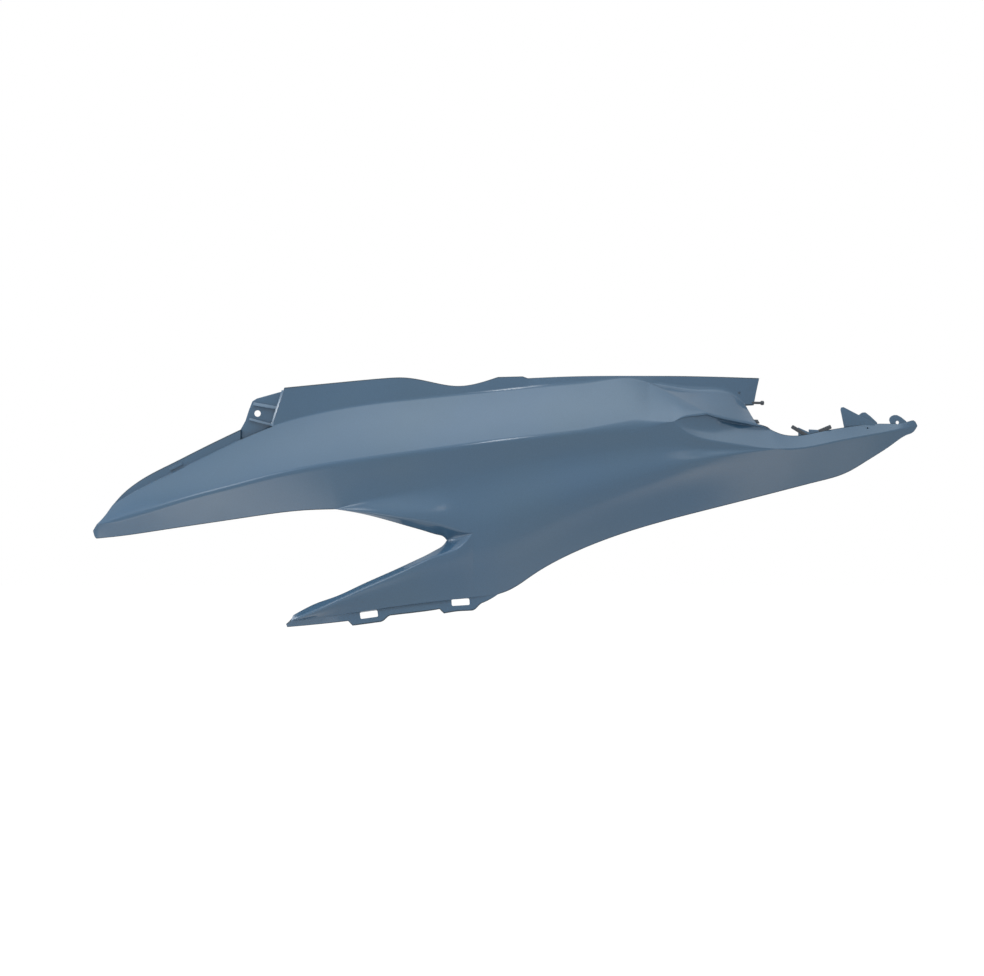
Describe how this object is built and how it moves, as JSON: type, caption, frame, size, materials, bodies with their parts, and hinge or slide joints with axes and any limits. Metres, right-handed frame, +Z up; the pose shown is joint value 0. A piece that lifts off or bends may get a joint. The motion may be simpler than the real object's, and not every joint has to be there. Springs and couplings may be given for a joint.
{
  "type": "scooter side panel",
  "caption": "Moulded side panel for a scooter's tail: a thin curved shell with a front bracket, lower clip slots, a scoop under the rear edge and hooks along the tail.",
  "frame": {"origin": "on the back face of the front bracket, beside its screw hole, in the plane that the bracket bolts to", "axes": "+X along the panel to its rear end, +Y inwards to the scooter's frame, +Z up; the painted face looks towards -Y"},
  "size_m": [0.8365, 0.0775, 0.2521],
  "materials": {
    "painted_plastic": "metallic grey-blue paint under a gloss clear coat"
  },
  "bodies": {
    "root": {"side_panel": "painted_plastic"}
  },
  "joints": []
}
